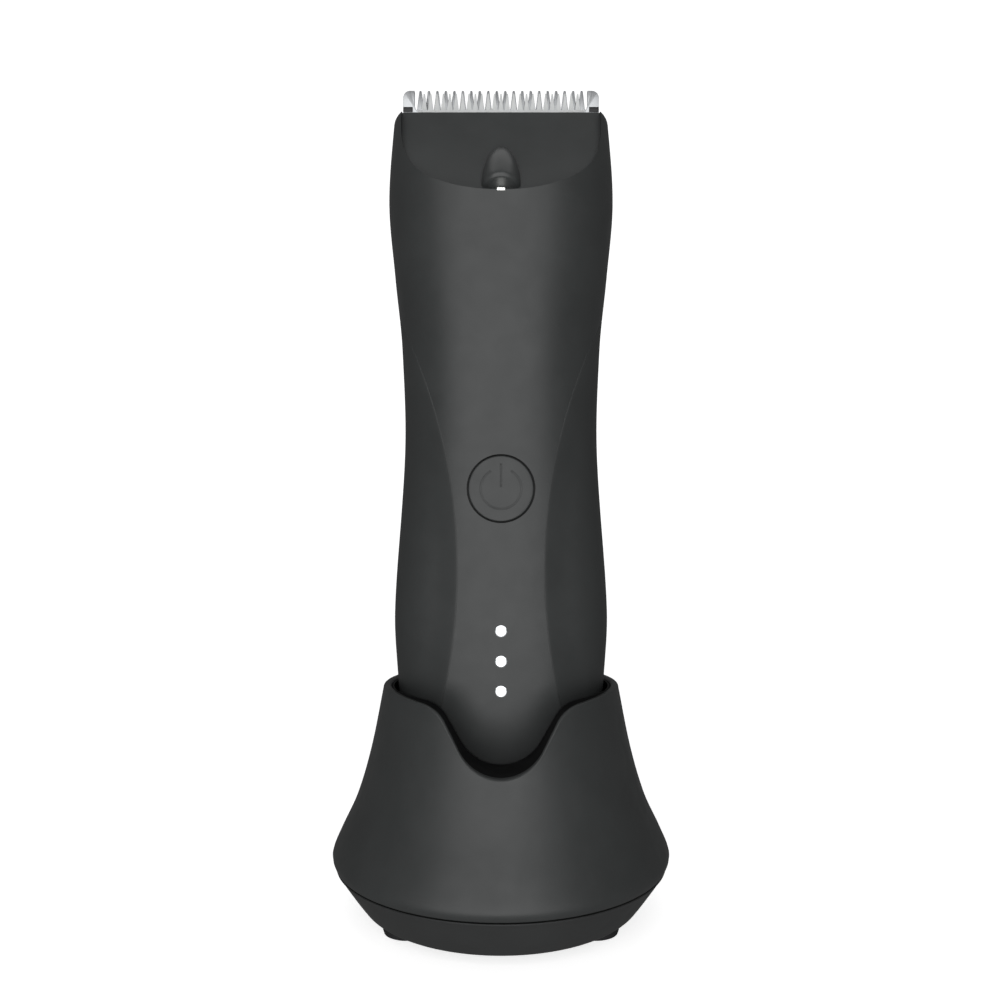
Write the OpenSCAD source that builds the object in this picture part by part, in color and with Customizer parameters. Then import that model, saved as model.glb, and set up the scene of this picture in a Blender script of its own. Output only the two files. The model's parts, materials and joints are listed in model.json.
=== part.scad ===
// Cordless body groomer standing in its charging stand.
// Origin: centre of the stand on the surface it stands on. +Z is up, the power button faces -Y.

/* [Trimmer] */
// Height of the trimmer's rounded foot above the table
trim_z0 = 9.2; // [9:0.1:9.6]
// Height of the head's top edge
head_z = 157.6; // [157:0.1:158.5]
// Roundness of the trimmer's cross-section, 2 is an ellipse
squareness = 2.3; // [2:0.1:2.6]
// Wall thickness of the front and rear shells
wall = 2.6; // [2.2:0.1:2.8]
// Thickness of the soft side grips
grip_t = 0.9; // [0.7:0.1:1]
// Depth that the grips lie below the shells
grip_drop = 0.8; // [0.4:0.1:0.9]
// Radius of the arc that bounds each grip
grip_arc = 103.5; // [95:0.5:110]

/* [Controls] */
// Height of the power button's centre
button_z = 84.1; // [80:0.1:88]
// Diameter of the power button with its seal
button_d = 12.7; // [11:0.1:14]
// Travel of the power button
button_travel = 0.5; // [0.3:0.1:0.6]
// Height of the lowest charge indicator
led_z = 46.5; // [46:0.1:48]
// Distance between the charge indicators
led_pitch = 5.65; // [5:0.05:6.5]
// Diameter of a charge indicator
led_d = 1.9; // [1.5:0.1:2.2]

/* [Blade] */
// Width of the fixed comb across its ears
blade_w = 38.8; // [38.4:0.1:39.2]
// Height of the fixed comb's tips
blade_top = 163.1; // [162.6:0.1:163.6]
// Number of teeth between the comb's ears
comb_teeth = 20; // [16:1:22]
// Distance between the comb's teeth
comb_pitch = 1.68; // [1.6:0.01:1.7]
// Stroke of the moving blade to each side
stroke = 0.9; // [0.6:0.1:1]

/* [Stand] */
// Height of the stand's rim
stand_top = 45.7; // [44:0.1:47]
// Thickness of the stand's shell
stand_wall = 2; // [1.6:0.1:2.4]
// Gap between the trimmer and its pocket
pocket_gap = 0.5; // [0.4:0.05:0.7]
// Height of the lowest point of the front notch
notch_z = 33.2; // [31:0.1:35]
// Diameter of a rubber foot
foot_d = 9.2; // [8:0.1:11]
// Distance of the feet from the centre
foot_r = 20.5; // [19:0.1:22]

/* [Hidden] */

$fn = 64;
eps = 0.01;

// Stations of the trimmer's outside: height, half width, depth to the front, depth to the rear
trim = [
    [9, 14.6, 10.2, 10.2], [20, 18.3, 11.6, 12.8], [35, 20.4, 13, 14.6], [50, 21.4, 15.3, 15.6],
    [60, 21.7, 15.85, 16.2], [80, 20.45, 16, 16.6], [98, 19.45, 16, 16.4], [112, 19.6, 16.1, 15.8],
    [126, 21, 16.4, 14.6], [141, 22.2, 16.5, 12.2], [160, 20.9, 16, 7.6]
];
// Stations of the stand's outside: height, radius
stand = [[11.3, 32.7], [13, 33.2], [16.6, 31.8], [23.7, 28.5], [33.2, 25.7], [45.7, 23.2]];

// Smooth curve through stations: value k of the stations at height z
function slope(s, i, k) =
    let(a = max(i - 1, 0), b = min(i + 1, len(s) - 1)) (s[b][k] - s[a][k]) / (s[b][0] - s[a][0]);
function stretch(s, z, i = 0) = i >= len(s) - 2 || z <= s[i + 1][0] ? i : stretch(s, z, i + 1);
function curve(s, z, k) =
    let(i = stretch(s, z), h = s[i + 1][0] - s[i][0], t = (z - s[i][0]) / h)
    s[i][k] * (1 + 2 * t) * (1 - t) ^ 2 + s[i + 1][k] * t ^ 2 * (3 - 2 * t)
    + h * slope(s, i, k) * t * (1 - t) ^ 2 - h * slope(s, i + 1, k) * t ^ 2 * (1 - t);

foot_round = 3;     // rounding of the trimmer's foot
head_round = 1.8;   // rounding of the head's top edge
function ease(t) = 1 - sqrt(max(0, 1 - min(t, 1) ^ 2));
function edge_inset(z) =
    foot_round * ease(max(0, (trim_z0 + foot_round - z) / foot_round))
    + head_round * ease(max(0, (z - head_z + head_round) / head_round));

function bend(v) = sign(v) * abs(v) ^ (2 / squareness);
// Point of the trimmer's surface at height z and angle a, moved inward by off
function skin(z, a, off) =
    let(in = off + edge_inset(z), d = curve(trim, z, sin(a) < 0 ? 2 : 3) - in)
    [(curve(trim, z, 1) - in) * bend(cos(a)), d * bend(sin(a)), z];

// The slanted front of the head: its plane passes through these two heights
lip_z = 139;
face_y0 = -14.6;    // depth of the slanted face at the lip's height
face_y1 = -5;       // depth of the slanted face at the top of the head
face_lean = (face_y1 - face_y0) / (head_z - lip_z);
function face_y(z) = face_y0 + (z - lip_z) * face_lean;
head_wall = 1.4;    // wall thickness behind the slanted face
function inner_off(z) = wall - (wall - head_wall) * min(1, max(0, (z - 128) / 12));

// Inner point of a shell: it stays behind the slanted face
function inner(z, a) =
    let(p = skin(z, a, inner_off(z)))
    [p.x, z > lip_z - 3 ? max(p.y, min(-0.6, face_y(z) + head_wall)) : p.y, z];

function heights(z0, z1, n) = [for (i = [0:n]) z0 + (z1 - z0) * i / n];
function end_heights(z0, z1, r, n) = [for (i = [0:n]) z1 - r * (1 - sin(90 * i / n))];

// Closed solid between two grids of points with the same number of rows and columns
module between(outer_rows, inner_rows) {
    n = len(outer_rows);
    m = len(outer_rows[0]);
    half = n * m;
    function id(s, i, j) = s * half + i * m + j;
    function quad(a, b, c, d) = [[a, b, c], [a, c, d]];
    faces = concat(
        [for (i = [0:n - 2], j = [0:m - 2]) each
            quad(id(0, i, j), id(0, i + 1, j), id(0, i + 1, j + 1), id(0, i, j + 1))],
        [for (i = [0:n - 2], j = [0:m - 2]) each
            quad(id(1, i, j), id(1, i, j + 1), id(1, i + 1, j + 1), id(1, i + 1, j))],
        [for (i = [0:n - 2]) each quad(id(0, i, 0), id(1, i, 0), id(1, i + 1, 0), id(0, i + 1, 0))],
        [for (i = [0:n - 2]) each
            quad(id(0, i, m - 1), id(0, i + 1, m - 1), id(1, i + 1, m - 1), id(1, i, m - 1))],
        [for (j = [0:m - 2]) each quad(id(0, 0, j), id(0, 0, j + 1), id(1, 0, j + 1), id(1, 0, j))],
        [for (j = [0:m - 2]) each
            quad(id(0, n - 1, j), id(1, n - 1, j), id(1, n - 1, j + 1), id(0, n - 1, j + 1))]
    );
    points = concat([for (r = outer_rows) each r], [for (r = inner_rows) each r]);
    polyhedron(points, faces);
}

// Solid block through a stack of rings of points
module loft(rings) {
    n = len(rings);
    cols = len(rings[0]);
    sides = [for (i = [0:n - 2], j = [0:cols - 1])
        let(a = i * cols + j, b = i * cols + (j + 1) % cols, c = b + cols, d = a + cols)
        each [[a, d, c], [a, c, b]]];
    ends = [[for (j = [0:cols - 1]) j], [for (j = [0:cols - 1]) n * cols - 1 - j]];
    polyhedron([for (r = rings) each r], concat(sides, ends));
}

// Solid block with the trimmer's cross-section, moved inward by off
module core(zs, off, cols = 40) loft([for (z = zs) [for (j = [0:cols - 1]) skin(z, 360 * j / cols, off)]]);

module along_y(h) rotate([90, 0, 0]) linear_extrude(h, center = true) children();
module rod_y(r, y0, y1) translate([0, y0, 0]) rotate([-90, 0, 0]) cylinder(r = r, h = y1 - y0);
module mirrored() { children(); mirror([1, 0, 0]) children(); }
module box(x0, x1, y0, y1, z0, z1) translate([x0, y0, z0]) cube([x1 - x0, y1 - y0, z1 - z0]);

// ---------------------------------------------------------------- charging stand
seam_z = 11.1;
base_z = 2.6;

function stand_line(off, z0, z1, n) =
    [for (z = heights(z0, z1, n)) [curve(stand, z, 1) - off, z]];

// Outline of the notch in the stand's rim, open at the top: a round floor, straight flanks and
// round shoulders that run out into the rim
notch_r = 8.5;
notch_turn = 60;
notch_flank = 5.5;
shoulder_r = 5.5;
shoulder_end = 7;
rim_meet_x = 20.5;
flank_x = notch_r * sin(notch_turn) + notch_flank * cos(notch_turn);
flank_z = notch_z + notch_r * (1 - cos(notch_turn)) + notch_flank * sin(notch_turn);
function notch_side() = concat(
    [for (a = [0:6:notch_turn]) [notch_r * sin(a), notch_z + notch_r * (1 - cos(a))]],
    [for (i = [0:5]) let(a = notch_turn + (shoulder_end - notch_turn) * i / 5)
        [flank_x + shoulder_r * (sin(notch_turn) - sin(a)),
         flank_z + shoulder_r * (cos(a) - cos(notch_turn))]],
    [[rim_meet_x, stand_top + eps]]
);
module notch_outline(drop) {
    right = concat(notch_side(), [[rim_meet_x + 20, stand_top + eps], [rim_meet_x + 20, 60]]);
    left = [for (i = [len(right) - 1:-1:1]) [-right[i].x, right[i].y]];
    translate([0, -drop]) polygon(concat(right, left));
}

// Inside radius of the stand's shell, whose wall thins towards the rim
rim_wall = 1.6;
function stand_in(z) =
    curve(stand, z, 1) - stand_wall + (stand_wall - rim_wall) * min(1, max(0, (z - 30) / 8));

module stand_shell() color("#2e2f31") difference() {
    union() {
        difference() {
            rotate_extrude() polygon(concat(stand_line(0, seam_z, stand_top, 26),
                [for (z = heights(stand_top, seam_z, 20)) [stand_in(z), z]]));
            along_y(100) notch_outline(0);
        }
        feet_places() {
            translate([0, 0, 9.3]) cylinder(r = 2.2, h = 7.7);
            box(0, 10.4, -1, 1, 15, 17);
        }
    }
    feet_places() translate([0, 0, 9]) cylinder(r = 1.1, h = 5);
}

base_flat_r = 25.2;   // radius of the cover's flat underside
base_turn_r = 3;      // rounding between the underside and the sloped side
base_rim_r = 32.5;
function base_line() = concat(
    [for (a = [0:20:60])
        [base_flat_r + base_turn_r * sin(a), base_z + base_turn_r * (1 - cos(a))]],
    [[base_rim_r, seam_z - 0.3]]);
module base_outline(off) polygon(concat([[0, base_z + off]],
    [for (p = base_line()) [p.x - off, max(p.y, base_z + off)]], [[0, seam_z - 0.3]]));

module feet_places() for (a = [-90 - 60, -90 + 60, 90]) rotate(a) translate([foot_r, 0, 0]) children();

module stand_base() color("#2b2c2e") difference() {
    union() {
        difference() {
            rotate_extrude() base_outline(0);
            translate([0, 0, eps]) rotate_extrude() base_outline(stand_wall);
        }
        intersection() {
            rotate_extrude() base_outline(0);
            union() {
                feet_places() translate([0, 0, base_z]) cylinder(r = 3.1, h = 6.4);
                for (a = [0, 180, 270]) rotate(a) translate([22.5, 0, base_z])
                    cylinder(r = 1.6, h = 6.8);
            }
        }
    }
    feet_places() {
        cylinder(r = 2.1, h = 7);
        cylinder(r = 1.2, h = 20);
    }
    feet_places() translate([0, 0, base_z - 1]) cylinder(r = foot_d / 2 + 0.05, h = 1.8);
    box(-4.7, 4.7, 24.2, 40, 5.7, 9.3);
}

module stand_feet() color("#1d1e20") feet_places()
    rotate_extrude() polygon([[0, 0], [foot_d / 2 - 0.8, 0], [foot_d / 2 - 0.2, 0.3],
        [foot_d / 2, 0.9], [foot_d / 2, base_z + 0.75], [0, base_z + 0.75]]);

module stand_screws() color("#8b8e92") feet_places()
    translate([0, 0, 5.4]) difference() {
        union() {
            cylinder(r = 1.9, h = 1.6);
            cylinder(r = 1.05, h = 7);
        }
        translate([0, 0, -eps]) cylinder(r = 0.9, h = 0.9, $fn = 6);
    }

floor_z = trim_z0 - 0.05;
foot_rows = [for (i = [0:4]) trim_z0 + foot_round * (1 - cos(22.5 * i))];
pin_x = 4;
pin_r = 0.9;

// Solid block that follows the trimmer's outline at a distance, but stays inside the shell
function pocket_point(z, a, grow, gap) =
    let(p = skin(z, a, -grow), r = norm([p.x, p.y]), most = stand_in(min(stand_top, max(z, seam_z))) - gap,
        f = min(1, most / r)) [p.x * f, p.y * f, z];
module pocket_block(zs, grow, gap)
    loft([for (z = zs) [for (j = [0:39]) pocket_point(z, 9 * j, grow, gap)]]);

module pocket_liner() color("#141416") difference() {
    union() {
        pocket_block(concat([7.2], heights(8.6, stand_top, 13)), pocket_gap + 1.5, 0.3);
        // top flange that closes the ring between the shell and the pocket
        difference() {
            rotate_extrude() polygon(concat([[0, 30]],
                [for (z = heights(30, stand_top, 12)) [stand_in(z) - 0.05, z]], [[0, stand_top]]));
            along_y(100) difference() {
                translate([-40, 0]) square([80, stand_top - 1.6]);
                notch_outline(1.6);
            }
        }
    }
    pocket_block(concat([floor_z], foot_rows, heights(15, stand_top + 1, 8)), pocket_gap, 0.6);
    along_y(100) notch_outline(0);
    for (s = [-1, 1]) translate([s * pin_x, 0, 5]) cylinder(r = pin_r + 0.05, h = 8);
}

module ballast_ring() color("#77797c") difference() {
    rotate_extrude() polygon([[20.8, 9.7], [24.6, 9.7], [25, 10.1], [25, 14.4], [24.6, 14.8],
        [21.2, 14.8], [20.8, 14.4]]);
    feet_places() translate([0, 0, 9]) cylinder(r = 2.6, h = 8);
}

board_z = 4.75;
module stand_board() color("#1f5c3a") difference() {
    box(-9, 9, 4.2, 24.5, board_z, board_z + 1.2);
    feet_places() cylinder(r = 3.3, h = 10);
}

module charge_socket() color("#a9abae") translate([0, 24.3, board_z + 1.25 + 1.6]) difference() {
    rotate([-90, 0, 0]) linear_extrude(6) socket_outline(0);
    translate([0, 0.8, 0]) rotate([-90, 0, 0]) linear_extrude(6) difference() {
        socket_outline(0.35);
        square([6.6, 0.7], center = true);
    }
}
module socket_outline(off) {
    r = 1.6 - off;
    for (s = [-1, 1]) translate([s * 2.87, 0]) circle(r);
    square([2 * 2.87, 2 * r], center = true);
}

module contact_block() color("#1b1c1e") difference() {
    box(-7.5, 7.5, -3.2, 3.2, base_z + stand_wall + 0.05, 7.15);
    for (s = [-1, 1]) translate([s * pin_x, 0, base_z + stand_wall + 0.3]) cylinder(r = 1.5, h = 5);
}

module charge_pin() color("#d9b35a") rotate_extrude()
    polygon([[0, 6.3], [1.4, 6.3], [1.4, 6.8], [pin_r, 6.8], [pin_r, 9.35], [0.5, 9.72], [0, 9.72]]);
module left_charge_pin() translate([-pin_x, 0, 0]) charge_pin();
module right_charge_pin() translate([pin_x, 0, 0]) charge_pin();

// Coil spring under a charging pin: one wire wound in two turns
coil_r = 1.1;
wire_r = 0.12;
coil_turns = 2;
coil_z = [5.07, 6.17];
module pin_spring() color("#c9ccd0") {
    n = 24 * coil_turns;
    m = 8;
    points = [for (i = [0:n], j = [0:m - 1])
        let(a = 360 * coil_turns * i / n, b = 360 * j / m, r = coil_r + wire_r * cos(b))
        [r * cos(a), r * sin(a), coil_z[0] + (coil_z[1] - coil_z[0]) * i / n + wire_r * sin(b)]];
    sides = [for (i = [0:n - 1], j = [0:m - 1])
        let(a = i * m + j, b = i * m + (j + 1) % m, c = b + m, d = a + m)
        each [[a, b, c], [a, c, d]]];
    ends = [[for (j = [m - 1:-1:0]) j], [for (j = [0:m - 1]) n * m + j]];
    polyhedron(points, concat(sides, ends));
}
module left_pin_spring() translate([-pin_x, 0, 0]) pin_spring();
module right_pin_spring() translate([pin_x, 0, 0]) pin_spring();

// ---------------------------------------------------------------- trimmer housing
end_z = 15;          // top of the end cap
rear_top = head_z - 10;   // top of the rear shell
shell_rows = 18;
shell_cols = 20;
grip_centre = [111.45, 69];

module side_cylinders(extra) mirrored()
    translate([grip_centre.x, 0, grip_centre.y]) along_y(80) circle(grip_arc + extra, $fn = 200);

// Room cut in the shells for the grips
module grip_room() difference() {
    side_cylinders(0);
    core(heights(14, 124, 14), grip_drop + grip_t + 0.05);
}

module half_shell(a0, z1) between(
    [for (z = concat(heights(end_z, z1 - 2, shell_rows), end_heights(z1 - 2, z1, 2, 3)))
        [for (j = [0:shell_cols]) skin(z, a0 + 180 * j / shell_cols, 0)]],
    [for (z = concat(heights(end_z, z1 - 2, shell_rows), end_heights(z1 - 2, z1, 2, 3)))
        [for (j = [0:shell_cols]) inner(z, a0 + 180 * j / shell_cols)]]);

// Outline of the slanted face seen from the front
face_half = 19.2;
face_rise = 17.8;
function face_outline() =
    let(side = [for (a = [0:7.5:90]) [face_half * sin(a), lip_z + face_rise * (1 - cos(a) ^ 0.62)]])
    concat(side, [[face_half, head_z + 2], [-face_half, head_z + 2]],
        [for (i = [len(side) - 1:-1:1]) [-side[i].x, side[i].y]]);

module along_x(h) rotate([90, 0, 90]) linear_extrude(h, center = true) children();

// Everything in front of the slanted face
module face_cut() intersection() {
    along_y(80) polygon(face_outline());
    along_x(60) polygon([[-30, lip_z - 5], [face_y(lip_z - 5), lip_z - 5],
        [face_y(head_z + 2), head_z + 2], [-30, head_z + 2]]);
}

// Room behind the slanted face for the blade module, a hair behind the shell's inner face
room_gap = 0.1;
module module_room() along_x(35.4) polygon([
    [face_y(rear_top - 1) + head_wall + room_gap, rear_top - 1], [1, rear_top - 1], [1, head_z + 1],
    [face_y(head_z + 1) + head_wall + room_gap, head_z + 1]]);

screw_x = 11;
screw_low = 30;
screw_high = 136;

// Bosses for the shell screws: front end in the wall, rear end just before the rear shell
module screw_bosses() mirrored() {
    translate([screw_x, 0, screw_low]) rod_y(2.3, -9.3, 7.9);
    translate([screw_x, 0, screw_high]) rod_y(2.3, -13.4, 8.4);
}

module front_shell() color("#3a3b3d") difference() {
    union() {
        half_shell(180, head_z);
        screw_bosses();
    }
    for (z = [screw_low, screw_high]) mirrored() translate([screw_x, 0, z]) rod_y(1.1, 0, 20);
    grip_room();
    face_cut();
    module_room();
    hood_body(0.05);
    lens_body(0.05);
    led_room();
    translate([0, 0, button_z]) rod_y(button_d / 2, -20, -10);
    for (i = [0:2]) translate([0, 0, led_z + i * led_pitch]) rod_y(led_d / 2 + 0.05, -20, -10);
}

module rear_shell() color("#37383a") difference() {
    half_shell(0, rear_top);
    grip_room();
    for (z = [screw_low, screw_high]) mirrored() translate([screw_x, 0, z]) {
        rod_y(1.15, 0, 20);
        rod_y(2.05, screw_y(z) - 1.55, 20);
    }
}

module grip(a0) intersection() {
    between(
        [for (z = heights(16, 121, 22)) [for (j = [0:16]) skin(z, a0 + 10 * j, grip_drop)]],
        [for (z = heights(16, 121, 22)) [for (j = [0:16]) skin(z, a0 + 10 * j, grip_drop + grip_t)]]);
    side_cylinders(-0.1);
}
module left_grip() color("#242527") grip(100);
module right_grip() color("#242527") grip(-80);

module end_cap() color("#303133") difference() {
    core(concat(foot_rows, [end_z - 0.05]), 0);
    core([trim_z0 + 2.4, trim_z0 + 3.4, end_z + 1], 2.4);
    for (s = [-1, 1]) translate([s * pin_x, 0, trim_z0 - 1]) cylinder(r = 1.7, h = 5);
}

module charge_pads() color("#d9b35a") for (s = [-1, 1]) translate([s * pin_x, 0, trim_z0 + 0.6]) {
    cylinder(r = 1.65, h = 0.6);
    cylinder(r = 0.6, h = 4);
}

module shell_screw() difference() {
    union() {
        rod_y(1.9, -1.5, 0);
        rod_y(1.05, -9, -1);
    }
    rod_y(0.95, -0.9, 1);
}
function screw_y(z) = curve(trim, z, 3) - (z > 100 ? 2.2 : 2.8);
module shell_screws() color("#8b8e92") for (z = [screw_low, screw_high]) mirrored()
    translate([screw_x, screw_y(z), z]) shell_screw();

// ---------------------------------------------------------------- inside the trimmer
battery_y = 3.5;
battery_r = 7;
board_y = -9.4;

module chassis() color("#4a4c50") difference() {
    union() {
        box(-8.5, 8.5, -6.9, -5.4, 20, 101);
        box(-8.5, 8.5, -6.9, 8.4, 20, 21.5);
        box(-8.5, 8.5, -6.9, 9, 76.5, 78);
        for (z = [34, 66]) box(-8.5, 8.5, -5.5, 2, z, z + 3);
        for (x = [-7, 7], z = [44, 96]) translate([x, 0, z]) rod_y(1.5, -7.9, -6.8);
        box(-9, 9, -11, 8, 101, 103);
    }
    translate([0, battery_y, 22]) cylinder(r = battery_r + 0.3, h = 54);
}

module battery() color("#3f6fb0") translate([0, battery_y, 23]) {
    cylinder(r = battery_r, h = 50.5);
    cylinder(r = 2.6, h = 51.6);
}

module battery_foam() color("#222222") translate([0, battery_y, 21.6]) cylinder(r = 5.5, h = 1.3);

module main_board() color("#1f5c3a") difference() {
    box(-8.5, 8.5, board_y, board_y + 1.4, 40, 99);
    for (x = [-7, 7], z = [44, 96]) translate([x, 0, z]) rod_y(0.8, -12, 0);
}

module tact_switch() color("#c3c6ca") translate([0, 0, button_z]) difference() {
    box(-3, 3, board_y - 1.8, board_y - 0.02, -3, 3);
    rod_y(1.65, -12, board_y - 0.4);
}

module switch_plunger() color("#1a1a1c") translate([0, 0, button_z])
    rod_y(1.6, -11.9, board_y - 0.45 - button_travel);

button_r = button_d / 2 - 0.25;
button_face = -curve(trim, button_z, 2);
flange_y = -12.45;   // front of the button's flange, behind the shell
mark_w = 0.5;

// Line-and-arc power mark, as grooves in the button
module power_mark() {
    difference() {
        circle(3.95);
        circle(3.95 - mark_w);
        polygon([[0, 0], [10 * tan(30), 10], [-10 * tan(30), 10]]);
    }
    translate([-mark_w / 2, 0.2]) square([mark_w, 4.4]);
}

module power_button() color("#3d3e40") {
    difference() {
        intersection() {
            translate([0, 0, button_z]) rod_y(button_r, button_face - 0.5, flange_y + 0.2);
            core(heights(76, 92, 4), 0, 72);
        }
        translate([0, button_face + 0.25, button_z]) rotate([90, 0, 0]) linear_extrude(2) power_mark();
    }
    translate([0, 0, button_z]) {
        rod_y(button_d / 2 + 0.8, flange_y, flange_y + 0.5);
        rod_y(1.4, flange_y + 0.4, -11.9);
    }
}

module button_seal() color("#0c0c0d") translate([0, 0, button_z]) difference() {
    rod_y(button_d / 2 - 0.02, button_face + 0.7, -13.5);
    rod_y(button_r + 0.04, -20, -10);
}

module indicator_lights() color("#f4f6f8") for (i = [0:2])
    let(z = led_z + i * led_pitch, y = -curve(trim, z, 2)) translate([0, 0, z])
        rod_y(led_d / 2, y + 0.02, board_y - 0.05);

// Bullet-shaped hood of the blade lamp, leaning with the slanted face
hood_r = 3.7;
hood_straight = 0.9;
hood_tip = 10.9;
hood_depth = 1.2;    // how far the hood reaches behind the slanted face
hood_lean = atan(face_lean) + 4;
module hood_body(grow) translate([0, -13.55, lip_z + 0.8]) rotate([-hood_lean, 0, 0])
    rotate_extrude() polygon(concat([[0, -grow], [hood_r - 0.7, -grow], [hood_r + grow, 0.7]],
        [for (a = [0:10:90]) [(hood_r + grow) * cos(a),
            hood_straight + (hood_tip + grow - hood_straight) * sin(a)]]));
module lamp_hood() color("#4c4e52") difference() {
    hood_body(0);
    lens_body(0.05);
    led_room();
    along_x(12) polygon([[face_y(lip_z - 4) + hood_depth, lip_z - 4], [5, lip_z - 4],
        [5, head_z], [face_y(head_z) + hood_depth, head_z]]);
}

module lens_body(grow) box(-0.7 - grow, 0.7 + grow, -16.3 - 20 * grow, -13.2 + grow,
    lip_z - 0.05 - grow, lip_z + 0.35 + grow);
// Room behind the lens for the lamp's LED
module led_room() box(-1.1, 1.1, -13.5, -11, lip_z - 2, lip_z + 1.2);
module lamp_lens() color("#ffffff") lens_body(0);
module lamp_led() color("#fff4c4") box(-1, 1, -13.1, -11.9, lip_z - 0.6, lip_z + 0.6);

motor_y = -4.1;
motor_r = 9;
motor_z = 105;
motor_h = 26;
holder_top = motor_z + motor_h + 2.2;
module motor() color("#b9bcc0") translate([0, motor_y, motor_z]) difference() {
    union() {
        cylinder(r = motor_r, h = motor_h);
        translate([0, 0, motor_h - eps]) cylinder(r = 3, h = 1.6);
        translate([0, 0, -1.2]) cylinder(r = 3, h = 1.3);
    }
    translate([0, 0, motor_h - 8]) cylinder(r = 1.04, h = 12);
}

module motor_holder() color("#45474b") translate([0, motor_y, 0]) difference() {
    union() {
        translate([0, 0, motor_z + 8]) cylinder(r = motor_r + 1.3, h = motor_h - 8 + 2.2);
        box(-14.5, 14.5, -1.5, 4, holder_top - 2, holder_top);
    }
    translate([0, 0, motor_z]) cylinder(r = motor_r + 0.05, h = motor_h + 0.05);
    translate([0, 0, motor_z]) cylinder(r = 3.1, h = 40);
    box(-12, 12, -12, -8.9, motor_z, holder_top + 1);
    for (x = [-5.5, 5.5]) translate([x, 0, motor_z]) cylinder(r = 1.1, h = 40);
}

module holder_screws() color("#8b8e92") for (x = [-5.5, 5.5])
    translate([x, motor_y, holder_top + 0.05]) {
        cylinder(r = 1.8, h = 1.1);
        translate([0, 0, -2.2]) cylinder(r = 1, h = 2.3);
    }

crank_z = holder_top + 1.6;
module eccentric() color("#d8dadd") translate([0, motor_y, 0]) {
    translate([0, 0, motor_z + motor_h - 7]) cylinder(r = 1, h = crank_z - motor_z - motor_h + 8);
    translate([0, 0, crank_z]) cylinder(r = 3.4, h = 5);
    translate([0, stroke, crank_z]) cylinder(r = 0.95, h = head_z - 7.6 - crank_z);
}

// ---------------------------------------------------------------- blade module
comb_y = -0.9;        // rear face of the fixed comb
comb_t = 1;
blade_gap = 0.04;
plate_y = comb_y - comb_t;
cutter_y = plate_y - blade_gap;
cutter_t = 1;
module_z = rear_top + 0.3;
blade_screw_z = head_z - 5.2;
ear_w = 2.3;
pad_x = 17.5;         // inner end of the pads under the comb's ears
pad_z = head_z + 1.3; // top of the comb's band, on which the pads lie
pad_t = 0.93;
gullet_z = head_z + 1.7;
cutter_tip = blade_top - 1;

module blade_carrier() color("#2a2b2d") {
    difference() {
        intersection() {
            core(concat([module_z], heights(head_z - 7, head_z - 2, 2),
                end_heights(head_z - 1.8, head_z, 1.8, 4)), 0);
            box(-25, 25, 0.15, 20, module_z, head_z + 1);
        }
        box(-10, 10, 1.6, 6.2, module_z - 1, head_z - 3.5);
    }
    difference() {
        box(-17.2, 17.2, comb_y + 0.02, 0.2, head_z - 9, head_z + 0.2);
        for (x = [-12.5, 12.5]) translate([x, 0, blade_screw_z]) rod_y(1, -5, 0.2);
    }
    // pads under the comb's ears
    mirrored() {
        box(pad_x + 0.02, blade_w / 2, plate_y, 1, pad_z + 0.02, pad_z + pad_t);
        box(17.8, 19, 0.3, 1, head_z - 3, pad_z + 0.1);
    }
    // snap hooks that reach into the head
    mirrored() {
        box(11, 13, 1.6, 4.4, head_z - 14.5, module_z + 1);
        box(12.9, 13.4, 1.6, 4.4, head_z - 14.5, head_z - 13.3);
    }
}

module tooth(w, z0, z1, y0, t) translate([0, y0, 0]) rotate([-90, 0, 0]) linear_extrude(t)
    polygon([[-w / 2, -z0], [-w / 2, -z1 + 0.45], [-w / 4, -z1], [w / 4, -z1], [w / 2, -z1 + 0.45],
        [w / 2, -z0]]);

module fixed_comb() color("#e6e8ea") difference() {
    union() {
        box(-16.8, 16.8, plate_y, comb_y, head_z - 7, head_z + 0.8);
        box(-blade_w / 2, blade_w / 2, plate_y, comb_y, head_z + 0.7, pad_z);
        box(-pad_x, pad_x, plate_y, comb_y, pad_z - 0.1, gullet_z);
        for (i = [0:comb_teeth - 1]) translate([(i - (comb_teeth - 1) / 2) * comb_pitch, 0, 0])
            tooth(0.6, gullet_z - 0.1, blade_top, plate_y, comb_t);
        mirrored() difference() {
            translate([blade_w / 2 - ear_w, plate_y, gullet_z - 0.1]) {
                cube([ear_w, comb_t, blade_top - gullet_z - 1.3]);
                cube([ear_w - 1.4, comb_t, blade_top - gullet_z + 0.1]);
                translate([ear_w - 1.4, 0, blade_top - gullet_z - 1.3]) rotate([-90, 0, 0])
                    cylinder(r = 1.4, h = comb_t);
            }
            box(pad_x, blade_w, -5, 0, pad_z, pad_z + pad_t + 0.02);
        }
    }
    for (x = [-12.5, 12.5]) translate([x, 0, blade_screw_z]) rod_y(1.1, -5, 0);
}

cutter_teeth = 25;
cutter_pitch = comb_pitch * 0.75;
module moving_blade() color("#f6f7f8") {
    box(-7.4, 7.4, cutter_y - cutter_t, cutter_y, head_z - 7, head_z - 2);
    box(-16.4, 16.4, cutter_y - cutter_t, cutter_y, head_z - 2.5, gullet_z - 0.4);
    for (i = [0:cutter_teeth - 1])
        translate([(i - (cutter_teeth - 1) / 2) * cutter_pitch, cutter_y - cutter_t, 0])
            rotate([-90, 0, 0]) linear_extrude(cutter_t)
                polygon([[-0.6, 0.5 - gullet_z], [-0.14, -cutter_tip], [0.14, -cutter_tip],
                    [0.6, 0.5 - gullet_z]]);
}

fork_half = 0.95 + 2 * stroke + 0.1;
module drive_fork() color("#202124") {
    box(-fork_half - 1.5, fork_half + 1.5, -5.3, cutter_y - cutter_t - 0.02,
        head_z - 7, head_z - 4.8);
    mirrored() box(fork_half, fork_half + 1.5, -5.3, -3, head_z - 10.4, head_z - 6.9);
}

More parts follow.
